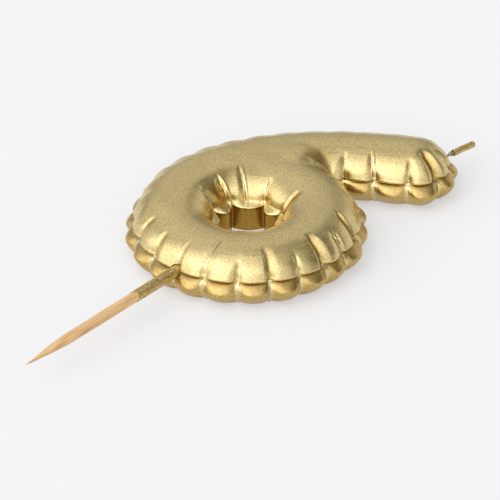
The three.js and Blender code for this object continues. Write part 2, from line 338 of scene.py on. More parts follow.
def outer_marks(seam, marks_along):
    """Distances along the seam where gathers meet: the given ones, and evenly between those far apart."""
    places = on_circle(LOOP_RADIUS, LOOP_MARKS) + [np.array(mark) for mark in ARM_MARKS]
    given = sorted(marks_along[nearest_place(seam, place)] for place in places)
    total = marks_along[-1]
    marks = []
    for start, end in zip(given, given[1:] + [given[0] + total]):
        pieces = max(1, round((end - start) / GATHER_PITCH))
        marks += [(start + (end - start) * k / pieces) % total for k in range(pieces)]
    return np.sort(marks)


def hole_marks(seam, marks_along):
    places = on_circle(HOLE_RADIUS, HOLE_MARKS)
    return np.sort([marks_along[nearest_place(seam, place)] for place in places])


def across_gather(marks_along, marks):
    """For each seam point, its gather's number and its place across it, from -1 to 1."""
    total = marks_along[-1]
    wrapped = np.concatenate([[marks[-1] - total], marks, [marks[0] + total]])
    along = marks_along[:-1]
    number = np.searchsorted(wrapped, along, side="right") - 1
    start, end = wrapped[number], wrapped[number + 1]
    return number % len(marks), 2 * (along - start) / (end - start) - 1


def outward_room(seam, outward):
    """The radius of the largest circle that touches the seam from outside at each of its points."""
    apart = seam[None] - seam[:, None]
    ahead = (apart * outward[:, None]).sum(axis=2)
    squared = (apart**2).sum(axis=2)
    radius = np.where(ahead > 1e-6, squared / np.maximum(2 * ahead, 1e-9), np.inf)
    return radius.min(axis=1)


def bead_profile(share):
    """How far out a gather swells, from the lip (0) to the ground (1)."""
    if share < BEAD_CREST:
        return math.sin(math.pi / 2 * share / BEAD_CREST) ** BEAD_UPPER_CURVE
    below_crest = (share - BEAD_CREST) / (1 - BEAD_CREST)
    return math.sqrt(max(0.0, 1 - below_crest**BEAD_LOWER_CURVE))


def outer_gather_rows(seam, outward, across, strength):
    """Rows of points and painted shade and highlight down the outside, from just under the seam to the
    ground.
    """
    away = np.linalg.norm(seam - FULL_GATHERS, axis=1) / FULL_REACH
    strength = strength * (1 + FULLER * np.exp(-(away**2)))
    rounded = (1 - np.abs(across) ** GATHER_FLATNESS) ** GATHER_SHOULDER
    swell = NODE_BULGE + (GATHER_BULGE - NODE_BULGE) * strength * rounded
    from_node = 1 - np.abs(across)
    rib = np.exp(-((from_node / NODE_RIB_WIDTH) ** 2))
    # In the notch the gathers flatten softly, so that they don't run into each other.
    limit = ROOM_SHARE * outward_room(seam, outward)
    swell = swell / (1 + (swell / limit) ** 4) ** 0.25
    room = np.minimum(1, limit / GATHER_BULGE)
    lip = LIP_DEPTH / SEAM_HEIGHT
    rows, painted_light_rows = [], []
    for k in range(1, GATHER_ROWS + 1):
        share = (1 - math.cos(math.pi * k / GATHER_ROWS)) / 2
        under_lip = smoothstep(0, lip, share) * smoothstep(3 * lip, lip, share)
        reach = swell * bead_profile(max(0.0, (share - lip) / (1 - lip)))
        reach += NODE_RIB * rib * room * smoothstep(0.9, 0.3, share) * smoothstep(0, 0.1, share)
        reach -= GATHER_TUCK * share**TUCK_CURVE * np.minimum(1, swell / GATHER_BULGE + LEAST_TUCK)
        reach -= LIP_UNDERCUT * under_lip * room
        height = np.full(len(seam), SEAM_HEIGHT * (1 - share))
        rows.append(np.column_stack([seam + reach[:, None] * outward, height]))
        # Painted shade in the grooves between gathers, towards their feet, under the lip and over all the
        # gathers, less a painted highlight along the ribs.
        groove = GROOVE_SHADE * smoothstep(0.35, 0.1, from_node) * (1 - rib)
        foot = FOOT_SHADE * smoothstep(0.4, 0.85, share)
        pale = RIB_HIGHLIGHT * rib * room * smoothstep(0.7, 0.3, share)
        painted_shade = np.maximum(np.maximum(groove, foot), under_lip)
        painted_light_rows.append(np.maximum(painted_shade, GATHER_SHADE) * (1 - rib) - pale)
    return np.array(rows), painted_light_rows


def hole_gather_rows(seam, outward, across, strength):
    """Rows of points and painted shade down the hole: a facet under the seam on each gather, then its wall.
    """
    rounded = (1 - np.abs(across) ** 2) ** HOLE_SHOULDER
    swell = HOLE_NODE_BULGE + (HOLE_BULGE - HOLE_NODE_BULGE) * strength * rounded
    rows, painted_light_rows = [], []
    for k in range(1, GATHER_ROWS + 1):
        share = (k / GATHER_ROWS) ** HOLE_ROW_CROWDING
        below = SEAM_HEIGHT * share / HOLE_SHELF_DROP
        reach = swell * below / (1 + below**HOLE_SHELF_EDGE) ** (1 / HOLE_SHELF_EDGE)
        height = np.full(len(seam), SEAM_HEIGHT * (1 - share))
        rows.append(np.column_stack([seam + reach[:, None] * outward, height]))
        # The hole's wall gets painted shade from where it starts down to the ground.
        painted_light_rows.append(np.full(len(seam), HOLE_WALL_SHADE * smoothstep(*HOLE_WALL_START, below)))
    return np.array(rows), painted_light_rows


# ---- The creases in the dome

# Each crease runs from the seam up the dome: where it starts and ends over the plan, how high its
# line stands (a thin fold) or lies (a sharp valley), then how deep the facets on its left and on
# its right are pressed beside the line and how far they reach, looking up the dome.
CREASES = [
    ((-11.2, -18.9), (-9.9, -14.9), -0.25, (0.15, 0.7), (0.20, 1.2)),
    ((-5.0, -21.4), (-4.8, -17.4), -0.30, (0.20, 0.7), (0.22, 1.2)),
    ((0.9, -22.0), (0.7, -17.4), 0.12, (0.00, 0.8), (0.35, 1.1)),
    ((7.1, -20.9), (5.8, -13.6), 0.22, (0.16, 0.7), (0.16, 1.4)),
    ((13.1, -17.7), (12.4, -15.7), 0.15, (0.50, 1.5), (0.05, 0.5)),
    ((17.4, -13.4), (13.3, -10.4), -0.35, (0.30, 0.4), (0.35, 1.9)),
    ((20.3, -8.4), (18.5, -7.4), 0.10, (0.00, 0.5), (0.40, 0.8)),
    ((21.8, -2.7), (16.4, -1.7), -0.80, (0.70, 0.5), (0.75, 2.2)),
    ((22.0, 3.2), (18.8, 3.5), 0.15, (0.30, 1.8), (0.45, 0.9)),
    ((20.2, 8.4), (14.9, 8.6), -0.65, (0.60, 1.1), (0.50, 0.5)),
    ((4.8, 24.7), (3.0, 27.7), 0.10, (0.45, 1.9), (0.05, 0.5)),
    ((9.9, 27.6), (6.6, 31.3), 0.18, (0.40, 1.5), (0.08, 0.5)),
    ((15.5, 31.7), (13.9, 34.4), -0.30, (0.25, 0.6), (0.30, 1.7)),
    ((18.6, 36.7), (13.6, 37.1), -0.85, (0.80, 1.7), (0.70, 1.5)),
    ((17.6, 41.4), (14.9, 39.4), 0.12, (0.15, 0.6), (0.40, 0.9)),
    ((-7.3, -2.1), (-10.6, -2.4), 0.20, (0.15, 0.8), (0.70, 2.2)),
    ((-6.9, 2.9), (-11.0, 3.8), 0.20, (0.90, 2.6), (0.05, 0.5)),
    ((-4.9, 5.7), (-9.6, 9.2), 0.18, (0.50, 1.4), (0.05, 0.5)),
    ((-1.8, 7.3), (-2.9, 10.6), 0.15, (0.10, 0.5), (0.35, 1.7)),
    ((4.5, 6.1), (5.4, 10.8), -0.50, (0.45, 0.4), (0.45, 1.6)),
]
FOLD_HALF_WIDTH = 0.36
# Shares of a crease's length: how much narrower it gets, and where it fades at its top and its foot.
CREASE_TAPER = 0.6
CREASE_TOP = (1.0, 0.5)
CREASE_FOOT = (-0.6, -0.2)
FACET_CURVE = 1.2
# How deep a valley must be for the full painted shade in it.
FULL_SHADE_DEPTH = 0.5


def crease_depths(plan):
    """How far the creases push the dome in (negative) or out, and the painted shade in their valleys and
    low spots less the painted highlight along their raised folds.
    """
    push = np.zeros(len(plan))
    painted_light = np.zeros(len(plan))
    pale = np.zeros(len(plan))
    for start, end, line, left, right in CREASES:
        start, end = np.array(start), np.array(end)
        length = np.linalg.norm(end - start)
        way = (end - start) / length
        along = (plan - start) @ way / length
        aside = (plan - start) @ np.array([way[1], -way[0]])
        taper = 1 - CREASE_TAPER * np.clip(along, 0, 1)
        fade = smoothstep(*CREASE_TOP, along) * smoothstep(*CREASE_FOOT, along)
        depth, reach = (np.where(aside > 0, right[k], left[k]) for k in range(2))
        beyond = np.maximum(np.abs(aside) - FOLD_HALF_WIDTH, 0) / (reach * taper)
        facet = -depth * np.maximum(1 - beyond, 0) ** FACET_CURVE
        on_line = smoothstep(FOLD_HALF_WIDTH, 0, np.abs(aside))
        pressed = fade * (on_line * line + (1 - on_line) * facet)
        push += pressed
        # Painted shade in a pressed-in valley, fading away from its line.
        painted_shade = np.clip(-pressed / FULL_SHADE_DEPTH, 0, 1) * np.exp(-np.abs(aside) / CREASE_SHADE_REACH)
        painted_light = np.maximum(painted_light, painted_shade)
        # Raised fold lines get a painted highlight.
        if line > 0:
            pale = np.maximum(pale, FOLD_HIGHLIGHT * fade * on_line)
    # Painted shade in low spots on the dome.
    for middle, reach, share in SHADE_SPOTS:
        away = np.linalg.norm(plan - np.array(middle), axis=1) / reach
        painted_light = np.maximum(painted_light, share * np.exp(-(away**2)))
    return push, painted_light - pale


# ---- The wax body

WAX_GRAIN = 0.05
WAX_GRAIN_PER_MM = 0.35


def dome_points(plan, raised):
    """Points on the dome over a plan, raised by given amounts, with the creases pressed in, and their
    painted shade and highlight.
    """
    places, facing = dome_surface(plan)
    push, painted_light = crease_depths(plan)
    unevenness = np.array([noise.noise(Vector(p) * WAX_GRAIN_PER_MM) for p in places]) * WAX_GRAIN
    return places + facing * (push + unevenness + raised)[:, None], painted_light


def billow(plan, across, height):
    """How far the dome stands out over the middle of each of the fuller gathers, part of the way up."""
    low, full, fading, top = BILLOW_RISE
    away = np.linalg.norm(plan - FULL_GATHERS, axis=1) / BILLOW_REACH
    swell = (1 + np.cos(math.pi * across)) / 2 * np.exp(-(away**2))
    return BILLOW * swell * smoothstep(low, full, height) * smoothstep(top, fading, height)


def side_of_body(seam, marks, gather_rows, rng):
    """A strip from the lower dome down over the gathers to the ground, as rows of points and their painted
    shade and highlight.

    It gives the plan of the dome's rows, all rows, their painted shade and highlight, and each place across
    its gather.
    """
    plan_rows = band_rows(seam)
    outward = -unit(dome_field(seam)[1])
    marks_along = np.concatenate([[0], np.cumsum(closed_steps(seam))])
    number, across = across_gather(marks_along, marks(seam, marks_along))
    strength = 1 + GATHER_UNEVENNESS * rng.uniform(-1, 1, number.max() + 1)[number]
    puff = PUFF * (1 - across**2)
    pinch = NODE_PINCH * np.exp(-(((1 - np.abs(across)) / PINCH_WIDTH) ** 2))
    rows, painted_light_rows = [], []
    for plan in plan_rows[::-1]:
        height = dome_surface(plan)[0][:, 2] - SEAM_HEIGHT
        raised = puff * smoothstep(PUFF_RISE, PUFF_FULL, height)
        raised = raised - pinch * smoothstep(PINCH_RISE, 0, height)
        raised += LIP_FLARE * np.exp(-height / LIP_FLARE_RISE) + billow(plan, across, height)
        places, painted_light = dome_points(plan, raised)
        rows.append(places)
        painted_light_rows.append(painted_light)
    below, below_painted_light = gather_rows(seam, outward, across, strength)
    # The gathers start where the lip really is and come back to their own places further down.
    lip = rows[-1][:, :2]
    fade = np.linspace(1, 0, len(below))[:, None, None] ** 3
    below[..., :2] += fade * (lip - seam)
    rows += list(below)
    painted_light_rows += below_painted_light
    return plan_rows, np.array(rows), np.array(painted_light_rows), across


def strip_faces(first, rows, columns):
    """Quads between the rows of a closed strip whose points are numbered row by row from first."""
    grid = first + np.arange(rows * columns).reshape(rows, columns)
    nxt = np.roll(grid, -1, axis=1)
    return np.stack([grid[:-1], grid[1:], nxt[1:], nxt[:-1]], axis=-1).reshape(-1, 4)


def within(points, outlines):
    """Whether each plan point is within closed outlines: it has an odd number of lines on its left."""
    left_of = np.zeros(len(points), int)
    for outline in outlines:
        for (x0, y0), (x1, y1) in zip(outline, np.roll(outline, -1, axis=0)):
            level = (y0 > points[:, 1]) != (y1 > points[:, 1])
            if y0 != y1:
                crossing = x0 + (points[:, 1] - y0) * (x1 - x0) / (y1 - y0)
                left_of += level & (crossing < points[:, 0])
    return left_of % 2 == 1


def filled(outlines, inside):
    """Triangles that fill closed plan outlines, their holes left open, using the inside points too."""
    points = np.vstack(outlines + [inside])
    edges = []
    start = 0
    for outline in outlines:
        loop = np.arange(start, start + len(outline))
        edges += list(zip(loop.tolist(), np.roll(loop, -1).tolist()))
        start += len(outline)
    out_points, _, out_faces, origins, _, _ = delaunay_2d_cdt(
        [Vector(p) for p in points], edges, [], 0, 1e-7, True
    )
    if len(out_points) != len(points):
        raise ValueError("the outlines cross or touch")
    order = np.array([origin[0] for origin in origins])
    triangles = order[np.array(out_faces)]
    return triangles[within(points[triangles].mean(axis=1), outlines)]


# ---- Places in the model's frame


def opening_middle(name):
    opening = next(o for o in frame["record"]["physics"]["openings"] if o["name"] == name)
    low, high = np.array(opening["box_m"])
    return (low + high) / 2 / MM


hole_middle = opening_middle("loop_hole")
loop_middle = np.array([hole_middle[0], hole_middle[1], 0.0])


def in_frame(points):
    """Millimetres from the middle of the loop, as metres in the model's frame."""
    return (np.asarray(points) + loop_middle) * MM


def node_box(node):
    """A CAD node's lowest and highest corners, in millimetres from the middle of the loop."""
    low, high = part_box(node)
    return np.array(low) / MM - loop_middle, np.array(high) / MM - loop_middle


def in_scene(name, data):
    thing = bpy.data.objects.new(name, data)
    bpy.context.scene.collection.objects.link(thing)
    return thing


def made_mesh(thing, name):
    """The plain mesh that an object and its modifiers make."""
    graph = bpy.context.evaluated_depsgraph_get()
    mesh = bpy.data.meshes.new_from_object(thing.evaluated_get(graph), depsgraph=graph)
    mesh.name = name
    return mesh


def new_piece(name, points, faces, painted_light=None):
    mesh = bpy.data.meshes.new(name)
    mesh.from_pydata(in_frame(points).tolist(), [], [tuple(face) for face in faces])
    mesh.update()
    mesh.shade_smooth()
    # Each point can carry a value for the lacquer's colour: painted shade where positive, painted highlight
    # where negative.
    if painted_light is not None:
        layer = mesh.attributes.new("painted_light", "FLOAT", "POINT")
        layer.data.foreach_set("value", np.asarray(painted_light, np.float32))
    return in_scene(name, mesh)


def finish_piece(piece, material, slot, *nodes):
    piece.data.materials.clear()
    piece.data.materials.append(material)
    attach(piece, "root")
    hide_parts(*nodes)


def grid_inside(seams):
    """Plan points of a grid that lie inside the dome's bands, and which seam point is nearest to each."""
    band = TUBE_RADIUS * (1 - math.cos(math.radians(DOME_BAND_TURN)))
    tree = kdtree.KDTree(sum(len(seam) for seam in seams))
    for i, place in enumerate(np.vstack(seams)):
        tree.insert((place[0], place[1], 0), i)
    tree.balance()
    low = np.vstack(seams).min(axis=0)
    high = np.vstack(seams).max(axis=0)
    row_step = GRID_SPACING * math.sqrt(0.75)
    places = []
    for row, y in enumerate(np.arange(low[1], high[1], row_step)):
        x = np.arange(low[0], high[0], GRID_SPACING) + (row % 2) * GRID_SPACING / 2
        places.append(np.column_stack([x, np.full(len(x), y)]))
    places = np.vstack(places)
    places = places[dome_field(places)[0] > CROWN_FIELD]
    clear = band + CROWN_MARGIN * GRID_SPACING
    found = [tree.find((x, y, 0)) for x, y in places]
    keep = np.array([distance > clear for _, _, distance in found])
    return places[keep], np.array([number for _, number, _ in found])[keep]


def wax_body():
    rng = np.random.default_rng(6)
    sides = [
        side_of_body(seam_line(rough_outline()), outer_marks, outer_gather_rows, rng),
        side_of_body(seam_line(around(HOLE_RADIUS, 2 * math.pi, 0)), hole_marks, hole_gather_rows, rng),
    ]
    # Points, their painted shade and highlight, faces, and the top and bottom rows of each strip.
    points, painted_light, faces, tops, bottoms = [], [], [], [], []
    start = 0
    for _, rows, painted_light_rows, _ in sides:
        count = rows.shape[1]
        points.append(rows.reshape(-1, 3))
        painted_light.append(painted_light_rows.reshape(-1))
        faces += strip_faces(start, len(rows), count).tolist()
        tops.append(start + np.arange(count))
        bottoms.append(start + (len(rows) - 1) * count + np.arange(count))
        start += len(rows) * count
    crown_plan, nearest = grid_inside([plan_rows[0] for plan_rows, _, _, _ in sides])
    across = np.concatenate([side[3] for side in sides])[nearest]
    height = dome_surface(crown_plan)[0][:, 2] - SEAM_HEIGHT
    crown, crown_painted_light = dome_points(crown_plan, billow(crown_plan, across, height))
    points.append(crown)
    painted_light.append(crown_painted_light)
    numbers = np.concatenate(tops + [start + np.arange(len(crown))])
    tops_plan = [plan_rows[-1] for plan_rows, _, _, _ in sides]
    faces += numbers[filled(tops_plan, crown_plan)].tolist()
    numbers = np.concatenate(bottoms)
    bottoms_plan = [rows[-1][:, :2] for _, rows, _, _ in sides]
    faces += numbers[filled(bottoms_plan, np.empty((0, 2)))][:, ::-1].tolist()
    return new_piece("candle_wax", np.vstack(points), faces, np.concatenate(painted_light))


# ---- Turned pieces


def axes_across(way):
    """Two directions at right angles to a way: level to its right, and up from it."""
    side = unit(np.cross(way, [0, 0, 1.0]))
    return side, np.cross(side, way)


def turned(name, profile, start, way, sides, roughen):
    """A closed piece turned round an axis: the profile is (radius, distance along) pairs.

    A radius of 0 closes the piece with a pole; a profile without poles closes on itself. roughen
    takes radius, distance and angle, and gives back the radius and distance to use.
    """
    way = unit(np.array(way, float))
    side, up = axes_across(way)
    angles = np.arange(sides) * 2 * math.pi / sides
    points, rows = [], []
    for radius, along in profile:
        if radius == 0:
            rows.append(np.full(sides, len(points)))
            points.append(start + way * along)
            continue
        rows.append(len(points) + np.arange(sides))
        for angle in angles:
            r, a = roughen(radius, along, angle)
            points.append(start + way * a + r * (math.cos(angle) * side + math.sin(angle) * up))
    if profile[0][0] != 0:
        rows.append(rows[0])
    faces = []
    for low, high in zip(rows[:-1], rows[1:]):
        for k in range(sides):
            n = (k + 1) % sides
            corners = [low[k], low[n], high[n], high[k]]
            faces.append(list(dict.fromkeys(corners)))
    piece = new_piece(name, np.array(points), faces)
    face_outwards(piece)
    return piece


def face_outwards(piece):
    shell = bmesh.new()
    shell.from_mesh(piece.data)
    bmesh.ops.recalc_face_normals(shell, faces=shell.faces)
    shell.to_mesh(piece.data)
    shell.free()
    piece.data.update()


# ---- The holes that the pick and the wick sit in

PICK_SINK = 14.0
BORE_SIDES = 24
BORE_CLEARANCE = 0.12


def rod(name, route, radius):
    """A round rod along a route of points, to cut a hole with."""
    route = np.asarray(route, float)
    ways = unit(np.gradient(route, axis=0))
    points, faces = [], []
    for centre, way in zip(route, ways):
        side, up = axes_across(way)
        for k in range(BORE_SIDES):
            angle = math.tau * k / BORE_SIDES
            points.append(centre + radius * (math.cos(angle) * side + math.sin(angle) * up))
    ring = np.arange(BORE_SIDES)
    for row in range(len(route) - 1):
        low, high = row * BORE_SIDES + ring, (row + 1) * BORE_SIDES + ring
        faces += np.stack([low, np.roll(low, -1), np.roll(high, -1), high], axis=1).tolist()
    faces += [ring[::-1].tolist(), ((len(route) - 1) * BORE_SIDES + ring).tolist()]
    cutter = new_piece(name, np.array(points), faces)
    face_outwards(cutter)
    return cutter


def cut(piece, cutters):
    """Takes the cutters out of a piece and removes them."""
    for cutter in cutters:
        modifier = piece.modifiers.new("cut", "BOOLEAN")
        modifier.object = cutter
        modifier.solver = "EXACT"
    result = made_mesh(piece, piece.data.name)
    piece.modifiers.clear()
    piece.data = result
    for cutter in cutters:
        bpy.data.objects.remove(cutter)


def cut_bores(body):
    low, high = node_box("pick_gold_coat")
    middle = (low + high) / 2
    mouth = -LOOP_RADIUS - 2 * GATHER_BULGE
    pick_line = [(middle[0], y, middle[2]) for y in (-LOOP_RADIUS + PICK_SINK + BORE_CLEARANCE, mouth)]
    coat_radius = (high[0] - low[0]) / 2
    wick_line = wick_route()
    past = wick_line[-1] + unit(wick_line[-1] - wick_line[-2])
    cut(
        body,
        [
            rod("pick_bore", pick_line, coat_radius + BORE_CLEARANCE),
            rod("wick_bore", np.vstack([wick_line, past]), WICK_BORE_RADIUS),
        ],
    )


# ---- The pick

PICK_SIDES = 40
PICK_TAPER = 12.4
PICK_TAPER_CURVE = 1.4
PICK_END_BEVEL = 0.25
PICK_ROWS = 60
TAPER_ROWS = 40
GRAIN_DEPTH = 0.02


def wooden_pick():
    low, high = node_box("wooden_pick")
    radius = (high[0] - low[0]) / 2
    length = high[1] - low[1]
    start = np.array([(low[0] + high[0]) / 2, high[1], (low[2] + high[2]) / 2])
    profile = [(0, 0), (radius - PICK_END_BEVEL, 0)]
    profile += [(radius, a) for a in np.linspace(PICK_END_BEVEL, length - PICK_TAPER, PICK_ROWS)]
    for share in np.linspace(0, 1, TAPER_ROWS + 1)[1:-1]:
        profile.append((radius * (1 - share**PICK_TAPER_CURVE), length - PICK_TAPER * (1 - share)))
    profile.append((0, length))

    def grained(r, along, angle):
        spot = Vector((3 * math.cos(angle), 3 * math.sin(angle), along * 0.12))
        return r - GRAIN_DEPTH * (1 + noise.noise(spot * 1.6)) * min(1, r / radius * 2), along

    return turned("pick_wood", profile, start, (0, -1, 0), PICK_SIDES, grained)


PICK_COAT_THICKNESS = 0.04
PICK_COAT_SIDES = 56
PICK_COAT_END = 0.9
COAT_CLEARANCE = 0.02
COAT_SINK = 2.0
# The coat's far end is ragged and cut aslant; both grow over its last part only.
COAT_RAG = 0.35
COAT_SLANT = 0.5
COAT_END_CURVE = 8


def pick_coat():
    low, high = node_box("pick_gold_coat")
    pick_low, pick_high = node_box("wooden_pick")
    inside = (pick_high[0] - pick_low[0]) / 2 + COAT_CLEARANCE
    length = high[1] - low[1] + COAT_SINK
    start = np.array([(low[0] + high[0]) / 2, high[1] + COAT_SINK, (low[2] + high[2]) / 2])
    outside = inside + PICK_COAT_THICKNESS
    out_rows = np.linspace(0.15, length - PICK_COAT_END, 70)
    in_rows = np.linspace(length - PICK_COAT_END, 0.1, 12)
    profile = [(inside, 0.05)] + [(outside, a) for a in out_rows] + [(inside, a) for a in in_rows]

    def flaked(r, along, angle):
        spot = Vector((math.cos(angle) * 2.2, math.sin(angle) * 2.2, along * 0.5))
        end = (along / length) ** COAT_END_CURVE
        rag = COAT_RAG * noise.noise(Vector((math.cos(angle) * 2, math.sin(angle) * 2, 7))) * end
        slant = COAT_SLANT * math.cos(angle) * end
        if r <= inside:
            return r, along + rag + slant
        streak = noise.noise(Vector((math.cos(angle) * 5, math.sin(angle) * 5, along * 0.25)))
        return r + 0.02 * streak + 0.03 * noise.noise(spot * 3), along + rag + slant

    return turned("pick_lacquer", profile, start, (0, -1, 0), PICK_COAT_SIDES, flaked)


# ---- The wick

# The wick runs this far under the seam, past these shares of the arm's line, and then these steps
# from the line's end.
WICK_DROP = 0.6
WICK_ARM_SHARES = [0.2, 0.35, 0.5, 0.65, 0.78, 0.9]
WICK_WAY_OUT = [(2, 4), (2.9, 9.4), (3.8, 14.8)]
STRAND_COUNT = 3
STRAND_RADIUS = 0.16
PLAIT_HALF_WIDTH = 0.33
PLAIT_HALF_THICKNESS = 0.28
PLAIT_PITCH = 6.0
STRAND_TWIST = 1.1
STRAND_SIDES = 18
STRAND_STEP = 0.1
PLY_DEPTH = 0.12
WICK_BORE_RADIUS = 0.62


def wick_route():
    marks = np.linspace(0, 1, len(arm_line))
    in_arm = [[np.interp(share, marks, arm_line[:, k]) for k in range(2)] for share in WICK_ARM_SHARES]
    way_out = [arm_line[-1] + np.array(step) for step in WICK_WAY_OUT]
    plan = smooth_route(np.vstack([in_arm, way_out]), 12)
    return np.column_stack([plan, np.full(len(plan), SEAM_HEIGHT - WICK_DROP)])


class Nodes:
    """A node tree under construction."""

    def __init__(self, tree):
        self.tree = tree

    def node(self, kind, inputs=(), **settings):
        node = self.tree.nodes.new(kind)
        for key, value in settings.items():
            setattr(node, key, value)
        for key, value in dict(inputs).items():
            if isinstance(value, bpy.types.NodeSocket):
                self.tree.links.new(value, node.inputs[key])
            else:
                node.inputs[key].default_value = value
        return node

    def maths(self, operation, *values):
        return self.node("ShaderNodeMath", enumerate(values), operation=operation).outputs[0]


class Tree(Nodes):
    """A geometry nodes tree under construction."""

    def __init__(self, name):
        super().__init__(bpy.data.node_groups.new(name, "GeometryNodeTree"))
        self.tree.interface.new_socket("Geometry", in_out="OUTPUT", socket_type="NodeSocketGeometry")
        self.tree.interface.new_socket("Geometry", in_out="INPUT", socket_type="NodeSocketGeometry")
        self.inputs = self.tree.nodes.new("NodeGroupInput")

    def size(self, name):
        self.tree.interface.new_socket(name, in_out="INPUT", socket_type="NodeSocketFloat")
        return self.inputs.outputs[name]

    def vectors(self, operation, *values, scale=None):
        node = self.node("ShaderNodeVectorMath", enumerate(values), operation=operation)
        if scale is not None:
            self.tree.links.new(scale, node.inputs["Scale"])
        return node.outputs[0]

    def end(self, geometry, material):
        real = self.node("GeometryNodeRealizeInstances", {"Geometry": geometry})
        dressed = self.node(
            "GeometryNodeSetMaterial", {"Geometry": real.outputs[0], "Material": material}
        )
        self.node("NodeGroupOutput", {"Geometry": dressed.outputs[0]})
        return self.tree


def strand_tree(material):
    """One strand of the plait: it swings once aside and twice up and down in every pitch."""
    tree = Tree("plaited strand")
    pitch = tree.size("Pitch")
    half_width = tree.size("Half width")
    half_thickness = tree.size("Half thickness")
    radius = tree.size("Strand radius")
    phase = tree.size("Phase")
    step = tree.size("Step")
    line = tree.node("GeometryNodeMeshToCurve", {"Mesh": tree.inputs.outputs["Geometry"]})
    even = tree.node(
        "GeometryNodeResampleCurve", {"Curve": line.outputs[0], "Length": step}, mode="LENGTH"
    )
    along = tree.node("GeometryNodeSplineParameter").outputs["Length"]
    swing = tree.maths("ADD", tree.maths("MULTIPLY", tree.maths("DIVIDE", along, pitch), math.tau), phase)
    way = tree.node("GeometryNodeInputTangent").outputs[0]
    side = tree.vectors("NORMALIZE", tree.vectors("CROSS_PRODUCT", (0, 0, 1), way))
    aside = tree.maths("MULTIPLY", half_width, tree.maths("SINE", swing))
    rise = tree.maths("MULTIPLY", half_thickness, tree.maths("SINE", tree.maths("MULTIPLY", swing, 2.0)))
    up = tree.node("ShaderNodeCombineXYZ", {"Z": rise}).outputs[0]
    offset = tree.vectors("ADD", tree.vectors("SCALE", side, scale=aside), up)
    swung = tree.node("GeometryNodeSetPosition", {"Geometry": even.outputs[0], "Offset": offset})
    turn = tree.maths("MULTIPLY", tree.maths("DIVIDE", along, pitch), math.tau * STRAND_TWIST * 4)
    twisted = tree.node("GeometryNodeSetCurveTilt", {"Curve": swung.outputs[0], "Tilt": turn})
    ring = tree.node("GeometryNodeCurvePrimitiveCircle", {"Resolution": STRAND_SIDES, "Radius": radius})
    # Three plies show as three lobes round the strand.
    angle = tree.maths("MULTIPLY", tree.node("GeometryNodeSplineParameter").outputs["Factor"], math.tau * 3)
    lobe = tree.maths("MULTIPLY_ADD", tree.maths("COSINE", angle), PLY_DEPTH, 1 - PLY_DEPTH)
    place = tree.node("GeometryNodeInputPosition").outputs[0]
    plied = tree.node(
        "GeometryNodeSetPosition",
        {"Geometry": ring.outputs[0], "Position": tree.vectors("SCALE", place, scale=lobe)},
    )
    strand = tree.node(
        "GeometryNodeCurveToMesh",
        {"Curve": twisted.outputs[0], "Profile Curve": plied.outputs[0], "Fill Caps": True},
    )
    smooth = tree.node("GeometryNodeSetShadeSmooth", {"Geometry": strand.outputs[0]})
    return tree.end(smooth.outputs[0], material)


def by_geometry_nodes(name, points, edges, tree, sizes):
    """The plain mesh that a geometry nodes tree makes from a line of points."""
    mesh = bpy.data.meshes.new(name + "_line")
    mesh.from_pydata(in_frame(points).tolist(), edges, [])
    maker = in_scene(name + "_maker", mesh)
    modifier = maker.modifiers.new("shape", "NODES")
    modifier.node_group = tree
    for item in tree.interface.items_tree:
        if item.in_out == "INPUT" and item.name in sizes:
            modifier[item.identifier] = sizes[item.name]
    made = made_mesh(maker, name)
    bpy.data.objects.remove(maker)
    bpy.data.meshes.remove(mesh)
    return in_scene(name, made)


def wick_strands(material):
    route = wick_route()
    edges = [(i, i + 1) for i in range(len(route) - 1)]
    tree = strand_tree(material)
    strands = []
    for k in range(STRAND_COUNT):
        sizes = {
            "Pitch": PLAIT_PITCH * MM,
            "Half width": PLAIT_HALF_WIDTH * MM,
            "Half thickness": PLAIT_HALF_THICKNESS * MM,
            "Strand radius": STRAND_RADIUS * MM,
            "Phase": math.tau * k / STRAND_COUNT,
            "Step": STRAND_STEP * MM,
        }
        strand = by_geometry_nodes(f"wick_yarn_{k + 1}", route, edges, tree, sizes)
        face_outwards(strand)
        strands.append(strand)
    return strands


WICK_COAT_RADIUS = 0.665
WICK_COAT_THICKNESS = 0.1
WICK_COAT_LENGTH = 5.6
WICK_COAT_SIDES = 32
# How far the coat reaches past the end of the wick.
WICK_COAT_PAST = 0.3


def wick_coat():
    route = wick_route()
    way = unit(route[-1] - route[-2])
    start = route[-1] - way * (WICK_COAT_LENGTH - WICK_COAT_PAST)
    outside, inside = WICK_COAT_RADIUS, WICK_COAT_RADIUS - WICK_COAT_THICKNESS
    length = WICK_COAT_LENGTH
    profile = [(0, length - 0.1), (inside - 0.1, length - 0.1)]
    profile += [(inside, a) for a in np.linspace(length - 0.2, 0.05, 6)]
    profile += [(outside, a) for a in np.linspace(0.05, length - 0.08, 40)]
    profile += [(outside - 0.08, length), (0, length)]

    def streaked(r, along, angle):
        spot = Vector((math.cos(angle) * 3, math.sin(angle) * 3, along * 0.35))
        return (r + 0.035 * noise.noise(spot) if r > inside else r), along

    return turned("wick_lacquer", profile, start, way, WICK_COAT_SIDES, streaked)


# ---- Finishes


